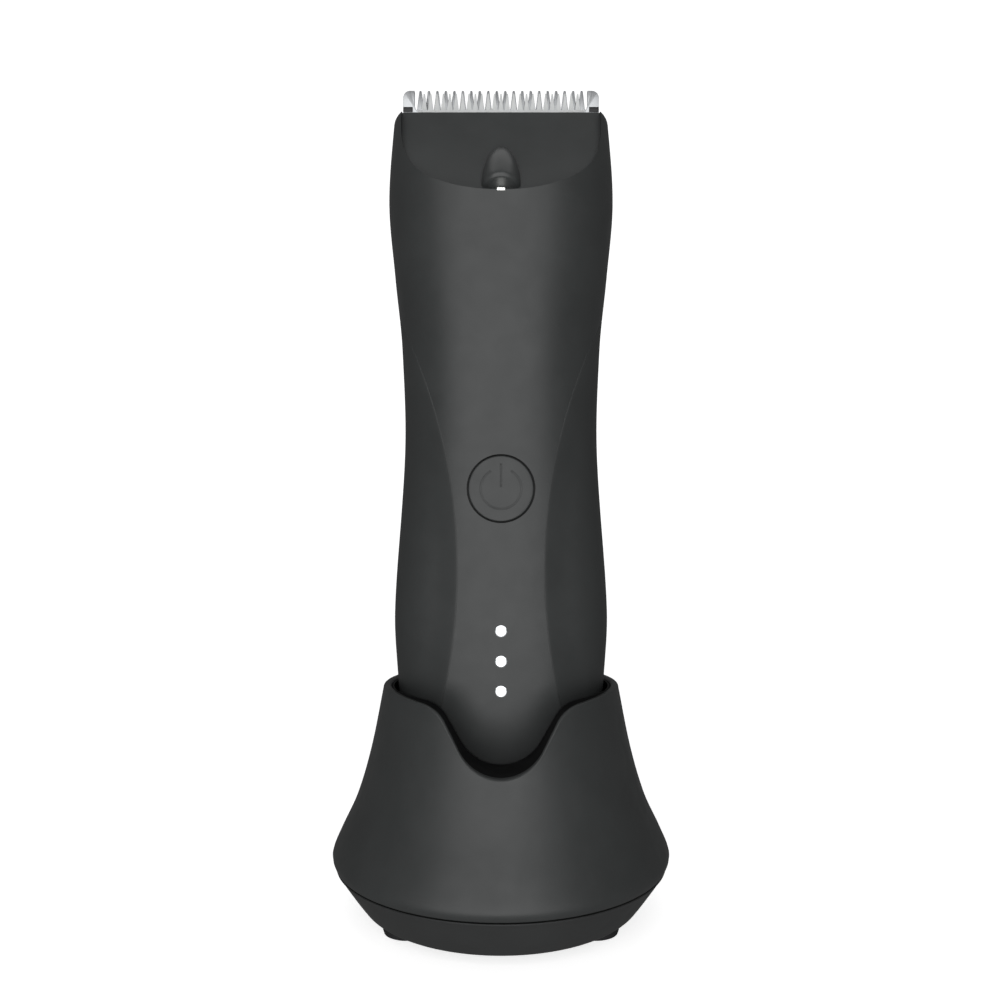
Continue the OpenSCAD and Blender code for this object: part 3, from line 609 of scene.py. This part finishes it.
# ---------------------------------------------------------------- button, indicators and lamp
def power_key():
    """Round key whose top follows the housing, with a grooved line-and-arc mark."""
    r_key = BORE_R - 0.25
    soft = 0.3
    rings = np.concatenate([np.linspace(0, r_key - soft, 15),
                            r_key - soft + soft * np.sin(np.linspace(0, math.pi / 2, 6))[1:]])
    drop = np.concatenate([np.zeros(15), soft * (1 - np.cos(np.linspace(0, math.pi / 2, 6)))[1:]])
    t = np.linspace(0, 2 * math.pi, 120, endpoint=False)
    x = rings[:, None] * np.cos(t)
    z = KEY_Z + rings[:, None] * np.sin(t)
    w, d = curve(TRIM, z, 1), curve(TRIM, z, 2)
    y = -d * (1 - (np.abs(x) / w) ** SQUARENESS) ** (1 / SQUARENESS) + drop[:, None]
    top = np.stack([x, y, z], -1)
    back_hi = box_mm("power_button")[1]
    rows = [top]
    for r, depth in ((r_key, -12.45), (r_key + 1.05, -12.45), (r_key + 1.05, -11.95), (1.4, -11.95),
                     (1.4, back_hi[1]), (0.0, back_hi[1])):
        rows.append(np.stack([r * np.cos(t), np.full_like(t, depth), KEY_Z + r * np.sin(t)], -1)[None])
    points = np.concatenate(rows, 0)
    key = new_object("power_key", points.reshape(-1, 3),
                     grid_faces(points.shape[0], len(t), wrap_cols=True))
    r_mark, w_mark, gap = 3.95, 0.42, 30
    a = np.radians(np.linspace(90 + gap, 450 - gap, 61))
    ring = [(r_mark * math.cos(v), KEY_Z + r_mark * math.sin(v)) for v in a]
    ring += [((r_mark - w_mark) * math.cos(v), KEY_Z + (r_mark - w_mark) * math.sin(v))
             for v in a[::-1]]
    floor = -float(curve(TRIM, KEY_Z, 2)) + 0.42
    bar = [(-w_mark / 2, KEY_Z + 0.3), (w_mark / 2, KEY_Z + 0.3), (w_mark / 2, KEY_Z + 4.6),
           (-w_mark / 2, KEY_Z + 4.6)]
    return boolean(key, [prism("ring", ring, -20, floor), prism("bar", bar, -20, floor)])


dress(power_key(), "button", "button_plastic", "power_button")

lights = []
for z in DOT_Z:
    face = -float(curve(TRIM, z, 2))
    t = np.linspace(0, math.pi / 2, 8)
    dome = [(0.0, 6.0)] + [(DOT_R, 6.0)] + [(DOT_R * math.cos(v), 0.25 - 0.25 * math.sin(v)) for v in t]
    light = turned("light", dome, 48)
    light.data.transform(Matrix.Translation((0, (face + 0.02) * MM, z * MM))
                         @ Matrix.Rotation(math.radians(-90), 4, "X"))
    lights.append(light)
dress(join("indicator_lenses", lights), "trimmer", "indicator_white", "indicator_lights")


def lamp_bump():
    """Bullet-shaped lamp hood that sinks into the slanted face towards its tip."""
    r, straight, tip, lean = 3.7, 0.9, 10.9, math.degrees(math.atan(FACE_LEAN)) + 4
    t = np.radians(np.linspace(0, 90, 26))
    c = np.radians(np.linspace(0, 90, 7))
    profile = [(0.0, 0.0)] + [(r - 0.9 + 0.9 * math.sin(v), 0.9 - 0.9 * math.cos(v)) for v in c]
    profile += [(r * math.cos(v), straight + (tip - straight) * math.sin(v)) for v in t]
    hood = turned("lamp_bump", profile, 96)
    hood.data.transform(Matrix.Translation((0, -13.55 * MM, (LIP_Z + 0.8) * MM))
                        @ Matrix.Rotation(math.radians(-lean), 4, "X"))
    slit = block("slit", LENS_LO - np.array([0.06, 1.5, 0.06]), LENS_HI + np.array([0.06, 0, 0.06]))
    back = prism("back", [(-6, LIP_Z - 4), (6, LIP_Z - 4), (6, HEAD_Z), (-6, HEAD_Z)],
                 lambda z: face_y(z) + 1.2, 5.0)
    lamp = block("lamp", (-1.1, -13.5, LIP_Z - 2), (1.1, -10, LIP_Z + 1.2))
    return boolean(hood, [slit, back, lamp])


dress(lamp_bump(), "trimmer", "lamp_plastic", "lamp_hood")


# ---------------------------------------------------------------- blade module
def extruded_plate(name, outline, y0, y1, edge):
    return bevel(prism(name, outline, y0, y1), edge, 2, 20)


# Pads under the comb's ears: inner end, height of the band they lie on, thickness
PAD_X = 17.5
PAD_Z = HEAD_Z + 1.3
PAD_T = 0.93
BLADE_SCREW_X = 12.5
BLADE_SCREW_Z = HEAD_Z - 5.2


def comb_outline():
    """Fixed comb: a band with two round ears over the pads, and tapered teeth between them."""
    pitch, root_w, tip_w, teeth = 1.68, 1.34, 0.56, 20
    tip, root, half = COMB_HI[2], HEAD_Z + 1.7, COMB_HI[0]
    neck, band, pad_top = 16.8, HEAD_Z + 0.7, PAD_Z + PAD_T + 0.02
    ear_in, ear_r = half - 2.3, 1.4
    side = [(neck, COMB_LO[2]), (neck, band), (half, band), (half, PAD_Z), (PAD_X, PAD_Z),
            (PAD_X, pad_top), (half, pad_top)]
    side += [(half - ear_r + ear_r * math.cos(v), tip - ear_r + ear_r * math.sin(v))
             for v in np.radians(np.linspace(0, 90, 9))]
    side += [(ear_in, tip), (ear_in, root + 1), (ear_in - 0.25, root)]
    r = tip_w / 2
    points = list(side)
    for i in range(teeth - 1, -1, -1):
        x = (i - (teeth - 1) / 2) * pitch
        points += [(x + root_w / 2, root + 0.1)]
        points += [(x + r * math.cos(v), tip - r + r * math.sin(v))
                   for v in np.radians(np.linspace(0, 180, 7))]
        points += [(x - root_w / 2, root + 0.1)]
        if i:
            points += [(x - pitch / 2, root - 0.1)]
    return points + [(-x, z) for x, z in side[::-1]]


comb = extruded_plate("comb_plate", comb_outline(), COMB_LO[1], COMB_HI[1], 0.07)
comb = boolean(comb, [rod_y("hole", 1.1, -5, 0, x=s * BLADE_SCREW_X, z=BLADE_SCREW_Z, segments=32)
                      for s in (-1, 1)])
dress(comb, "blade_module", "comb_steel", "fixed_comb")


def cutter_outline():
    """Moving blade: pointed teeth at three quarters of the comb's pitch, on a T-shaped plate."""
    pitch, teeth = 1.26, 25
    tip, root = CUT_HI[2], HEAD_Z + 1.3
    half, tongue, shoulder = CUT_HI[0], 7.4, CUT_LO[2] + 4.5
    points = [(-tongue, CUT_LO[2]), (tongue, CUT_LO[2]), (tongue, shoulder), (half, shoulder),
              (half, root)]
    for i in range(teeth - 1, -1, -1):
        x = (i - (teeth - 1) / 2) * pitch
        points += [(x + 0.52, root), (x + 0.13, tip), (x - 0.13, tip), (x - 0.52, root)]
    points += [(-half, root), (-half, shoulder), (-tongue, shoulder)]
    return points


cutter = extruded_plate("cutter_plate", cutter_outline(), CUT_LO[1], CUT_HI[1], 0.05)
dress(cutter, "cutter", "blade_ceramic", "moving_blade")


def head_rear():
    """Rear half of the head: the carrier that holds the blades and snaps off with them."""
    low = box_mm("blade_carrier")[0]
    z0 = REAR_TOP + 0.3
    crown = HEAD_Z - HEAD_ROUND * (1 - np.sin(np.linspace(0, math.pi / 2, 9)))
    z = np.concatenate([[z0, z0 + 0.2], np.linspace(z0 + 1, crown[0] - 0.5, 8), crown])
    a = np.concatenate([[0.9], np.linspace(1.4, 178.6, 90), [179.1]])
    off = np.zeros((len(z), len(a)))
    off[0] = SEAM_GROOVE
    outer = skin(z[:, None], a[None, :], off)
    inner = outer.copy()
    inner[..., 1] = 0.15
    outer[..., 1] = np.maximum(outer[..., 1], 0.16)
    crown_part = shell_between("crown", outer, inner)
    hollow = block("hollow", (-10, 1.6, z0 - 1), (10, 6.2, HEAD_Z - 3.5))
    crown_part = boolean(crown_part, [hollow])
    parts = [crown_part]
    parts.append(bevel(block("plate", (-17.2, -0.88, HEAD_Z - 9), (17.2, 0.2, HEAD_Z + 0.2)), 0.15))
    for s in (-1, 1):
        x0, x1 = sorted((s * 11, s * 13))
        parts.append(bevel(block("hook", (x0, 1.6, low[2]), (x1, 4.4, z0 + 1)), 0.2))
        x0, x1 = sorted((s * 12.9, s * 13.4))
        parts.append(bevel(block("barb", (x0, 1.6, low[2]), (x1, 4.4, low[2] + 1.2)), 0.15))
    return join("head_rear", parts)


dress(head_rear(), "blade_module", "shell_plastic", "blade_carrier")


def ear_pads():
    """Black pads that carry the comb's ears, with legs that go down behind the head's wall."""
    parts = []
    for s in (-1, 1):
        x0, x1 = sorted((s * (PAD_X + 0.02), s * COMB_HI[0]))
        pad = block("pad", (x0, COMB_LO[1], PAD_Z + 0.02), (x1, 1.0, PAD_Z + PAD_T))
        parts.append(bevel(pad, 0.1))
        x0, x1 = sorted((s * 17.85, s * 18.95))
        parts.append(block("leg", (x0, 0.3, HEAD_Z - 3), (x1, 0.95, PAD_Z + 0.1)))
    return join("ear_pads", parts)


dress(ear_pads(), "blade_module", "black_plastic", "blade_carrier")


# ---------------------------------------------------------------- charging stand
NOTCH_Z, NOTCH_R, NOTCH_TURN, FLANK, SHOULDER_R, SHOULDER_END, RIM_X = 33.2, 8.5, 60, 5.5, 5.5, 7, 20.5


def notch_line():
    """Right half of the rim's outline from the front: round floor, flank, shoulder, rim."""
    turn = math.radians(NOTCH_TURN)
    a = np.linspace(0, turn, 20)
    floor = np.stack([NOTCH_R * np.sin(a), NOTCH_Z + NOTCH_R * (1 - np.cos(a))], -1)
    x0 = floor[-1, 0] + FLANK * math.cos(turn)
    z0 = floor[-1, 1] + FLANK * math.sin(turn)
    b = np.linspace(turn, math.radians(SHOULDER_END), 20)
    shoulder = np.stack([x0 + SHOULDER_R * (math.sin(turn) - np.sin(b)),
                         z0 + SHOULDER_R * (np.cos(b) - math.cos(turn))], -1)
    return np.concatenate([floor, shoulder, [(RIM_X, STAND_TOP), (60, STAND_TOP)]])


NOTCH = notch_line()


def rim_height(x):
    return np.interp(np.abs(x), NOTCH[:, 0], NOTCH[:, 1])


def ring_directions(n):
    phi = np.linspace(0, 2 * math.pi, n, endpoint=False)
    return np.sin(phi), -np.cos(phi)


def rim_at(sx, drop_r):
    """Height of the rim where the stand's surface, moved inward by drop_r, meets the outline."""
    z = np.full_like(sx, STAND_TOP)
    for _ in range(60):
        z = 0.5 * z + 0.5 * rim_height((curve(STAND, z) - drop_r) * sx)
    return z


def stand_body():
    n = 420
    sx, sy = ring_directions(n)
    soft = 0.55
    top_out, top_in = rim_at(sx, 0.3), rim_at(sx, RIM_WALL)
    rows = []

    def ring(r, z):
        rows.append(np.stack([r * sx, r * sy, z * np.ones(n)], -1))

    for t in np.linspace(0, 1, 40):
        z = SEAM_Z + 0.25 + (top_out - soft - SEAM_Z - 0.25) * t
        ring(curve(STAND, z), z)
    for t in np.linspace(0, math.pi / 2, 7)[1:]:
        ring(curve(STAND, top_out - soft) - soft * (1 - math.cos(t)), top_out - soft * (1 - math.sin(t)))
    for t in np.linspace(math.pi / 2, 0, 7)[:-1]:
        ring(stand_in(top_in - soft) + soft * (1 - math.cos(t)), top_in - soft * (1 - math.sin(t)))
    for t in np.linspace(1, 0, 24):
        z = SEAM_Z + (top_in - soft - SEAM_Z) * t
        ring(stand_in(z), z)
    ring(curve(STAND, SEAM_Z) - 0.3, np.full(n, SEAM_Z))
    ring(curve(STAND, SEAM_Z + 0.08) - 0.08, np.full(n, SEAM_Z + 0.08))
    points = np.array(rows)
    return new_object("stand_body", points.reshape(-1, 3),
                      grid_faces(len(rows), n, wrap_cols=True, wrap_rows=True))


dress(stand_body(), "stand", "stand_plastic", "stand_shell", sharp=40)


def pocket_lining():
    """Oval pocket for the trimmer, with a top that closes the ring to the stand's shell."""
    n = 420
    sx, sy = ring_directions(n)
    angles = np.degrees(np.arctan2(sy, sx))
    step, sheet, soft = 0.35, 1.5, 0.5
    rows = []

    def limit(p, gap=0.08):
        """Keeps a ring of points inside the stand's shell."""
        r = np.hypot(p[:, 0], p[:, 1])
        z = np.maximum(p[:, 2], SEAM_Z + 1)
        most = stand_in(z) - gap
        scale = np.minimum(1, most / np.maximum(r, 1e-6))
        return p * np.stack([scale, scale, np.ones_like(scale)], -1)

    floor_z = FOOT_Z - 0.05
    edge_z = rim_at(sx, RIM_WALL + 0.08)
    circle_r = stand_in(edge_z - step) - 0.08
    circle = np.stack([circle_r * sx, circle_r * sy, edge_z - step], -1)
    oval_top = skin(np.full(n, STAND_TOP - 2), angles, -POCKET_GAP)
    for _ in range(4):
        oval_z = rim_height(oval_top[:, 0]) - step
        oval_top = skin(oval_z, angles, -POCKET_GAP)
    rows.append(np.zeros((n, 3)) + np.array([0, 0, 7.2]))
    rows.append(skin(np.full(n, 12.0), angles, 1.0) * [1, 1, 0] + [0, 0, 7.2])
    for t in np.linspace(0, 1, 24):
        z = 8.6 + (np.minimum(oval_z, circle[:, 2]) - sheet - 8.6) * t
        rows.append(limit(skin(z, angles, -POCKET_GAP - sheet), 0.2))
    low_edge = circle.copy()
    low_edge[:, 2] -= sheet
    rows.append(limit(low_edge))
    rows.append(circle - [0, 0, 0.15])
    oval_top = limit(oval_top, 0.5)
    for t in np.linspace(0.02, 1, 12):
        p = circle * (1 - t) + oval_top * t
        p[:, 2] = rim_height(p[:, 0]) - step
        if t == 1:
            p[:, 2] -= 0.3
        rows.append(p)
    for t in np.linspace(0.03, 1, 40):
        z = (oval_z - 0.3) + (floor_z + 2.4 - oval_z + 0.3) * t
        rows.append(limit(skin(z, angles, -POCKET_GAP), 0.5))
    for t in np.linspace(0, math.pi / 2, 7)[1:]:
        z = floor_z + 2.4 - 2.4 * math.sin(t)
        rows.append(skin(np.full(n, floor_z + 2.4), angles, -POCKET_GAP + 2.6 * (1 - math.cos(t)))
                    * [1, 1, 0] + [0, 0, z])
    rows.append(np.zeros((n, 3)) + np.array([0, 0, floor_z]))
    points = np.array(rows)
    lining = new_object("pocket_lining", points.reshape(-1, 3),
                        grid_faces(len(rows), n, wrap_cols=True))
    drills = []
    for node in ("left_charge_pin", "right_charge_pin"):
        lo, hi = box_mm(node)
        drill = turned("drill", [(0, 5), (0.95, 5), (0.95, 14), (0, 14)], 48)
        drill.data.transform(Matrix.Translation(((lo[0] + hi[0]) / 2 * MM, 0, 0)))
        drills.append(drill)
    return boolean(lining, drills)


dress(pocket_lining(), "stand", "liner_plastic", "pocket_liner", sharp=40)

BASE_Z = BASE_LO[2]
FEET_HI = box_mm("stand_feet")[1]
FOOT_R = 4.6
FOOT_RING = FEET_HI[1] - FOOT_R


def base_line(off):
    flat_r, turn_r, rim_r = 25.2, 3.0, 32.5
    lean = math.radians(60)
    t = np.linspace(0, lean, 10)
    r = flat_r + turn_r * np.sin(t)
    z = BASE_Z + turn_r * (1 - np.cos(t))
    k = np.linspace(0, 1, 16)[1:]
    top_r, top_z = r[-1], z[-1]
    r = np.concatenate([r, top_r + (rim_r - top_r) * k]) - off
    z = np.concatenate([z, top_z + (BASE_HI[2] - top_z) * k ** 1.06])
    z = np.maximum(z, BASE_Z + off)
    return [(0.0, BASE_Z + off)] + list(zip(r, z))


def base_cover():
    outer, inner = base_line(0), base_line(2.0)
    rim = outer[-1]
    outer[-1] = (rim[0] - 0.12, rim[1])
    outer.insert(-1, (rim[0] - 0.01, rim[1] - 0.15))
    cover = turned("base_cover", outer + inner[::-1], 288)
    cutters = []
    t = np.linspace(-math.pi / 2, math.pi / 2, 17)
    half, r = (SOCKET_HI[0] - SOCKET_LO[0]) / 2, (SOCKET_HI[2] - SOCKET_LO[2]) / 2
    zc = (SOCKET_HI[2] + SOCKET_LO[2]) / 2
    slot = [(half - r + (r + 0.1) * math.cos(v), zc + (r + 0.1) * math.sin(v)) for v in t]
    slot += [(-x, z) for x, z in slot[::-1]]
    cutters.append(prism("slot", slot, 22, 40))
    for a in (-150, -30, 90):
        x, y = FOOT_RING * math.cos(math.radians(a)), FOOT_RING * math.sin(math.radians(a))
        for r, top in ((FOOT_R + 0.05, BASE_Z + 0.8), (2.1, 7.0)):
            well = turned("well", [(0, 0), (r, 0), (r, top), (0, top)], 48)
            well.data.transform(Matrix.Translation((x * MM, y * MM, 0)))
            cutters.append(well)
    return boolean(cover, cutters)


dress(base_cover(), "stand", "base_plastic", "stand_base", sharp=40)


# ---------------------------------------------------------------- stage, light and camera
def stage():
    """Pale floor that curves up into a backdrop."""
    half, front, back, r, top = 1.6, -1.2, 0.9, 0.5, 1.6
    path = [(front, 0.0), (back - r, 0.0)]
    path += [(back - r + r * math.sin(v), r - r * math.cos(v)) for v in np.linspace(0, math.pi / 2, 24)]
    path += [(back, top)]
    points = np.array([[(x, y, z) for x in (-half, half)] for y, z in path])
    floor = new_object("floor", points.reshape(-1, 3) / MM, grid_faces(len(path), 2))
    floor.data.shade_smooth()
    n = Nodes("floor_paper")
    n.link(n.ramp(n.noise(3, 2), [(0.3, 0.86), (0.7, 0.89)]), n.shader.inputs["Base Color"])
    n.shader.inputs["Roughness"].default_value = 0.9
    n.shader.inputs["Emission Color"].default_value = (1, 1, 1, 1)
    n.shader.inputs["Emission Strength"].default_value = 0.75
    floor.data.materials.append(n.mat)
    floor.visible_diffuse = False
    floor.visible_glossy = False
    floor.visible_shadow = False


def area_light(name, place, target, size, power):
    data = bpy.data.lights.new(name, "AREA")
    data.shape, data.size, data.size_y = "RECTANGLE", size[0], size[1]
    data.energy = power
    light = bpy.data.objects.new(name, data)
    light.location = place
    light.rotation_euler = (Vector(target) - Vector(place)).to_track_quat("-Z", "Y").to_euler()
    bpy.context.scene.collection.objects.link(light)


def studio():
    world = bpy.data.worlds.new("studio")
    world.use_nodes = True
    world.node_tree.nodes["Background"].inputs["Color"].default_value = (1, 1, 1, 1)
    world.node_tree.nodes["Background"].inputs["Strength"].default_value = 0.13
    bpy.context.scene.world = world
    area_light("key", (-0.05, -0.62, 0.06), (0, 0, 0.06), (0.95, 1.15), 6.9)
    area_light("top_wash", (0.0, 0.30, 1.2), (0, 0.1, 0.0), (1.4, 1.0), 3.0)


def camera():
    data = bpy.data.cameras.new("camera")
    data.sensor_width = 36.0
    data.lens = 36.0
    data.shift_x = -0.001
    data.clip_start, data.clip_end = 0.01, 20
    cam = bpy.data.objects.new("camera", data)
    cam.location = (0.0, -0.200, 0.082)
    cam.rotation_euler = (math.radians(90), 0, 0)
    bpy.context.scene.collection.objects.link(cam)
    bpy.context.scene.camera = cam


stage()
studio()
camera()
bpy.context.scene.view_settings.view_transform = "Standard"
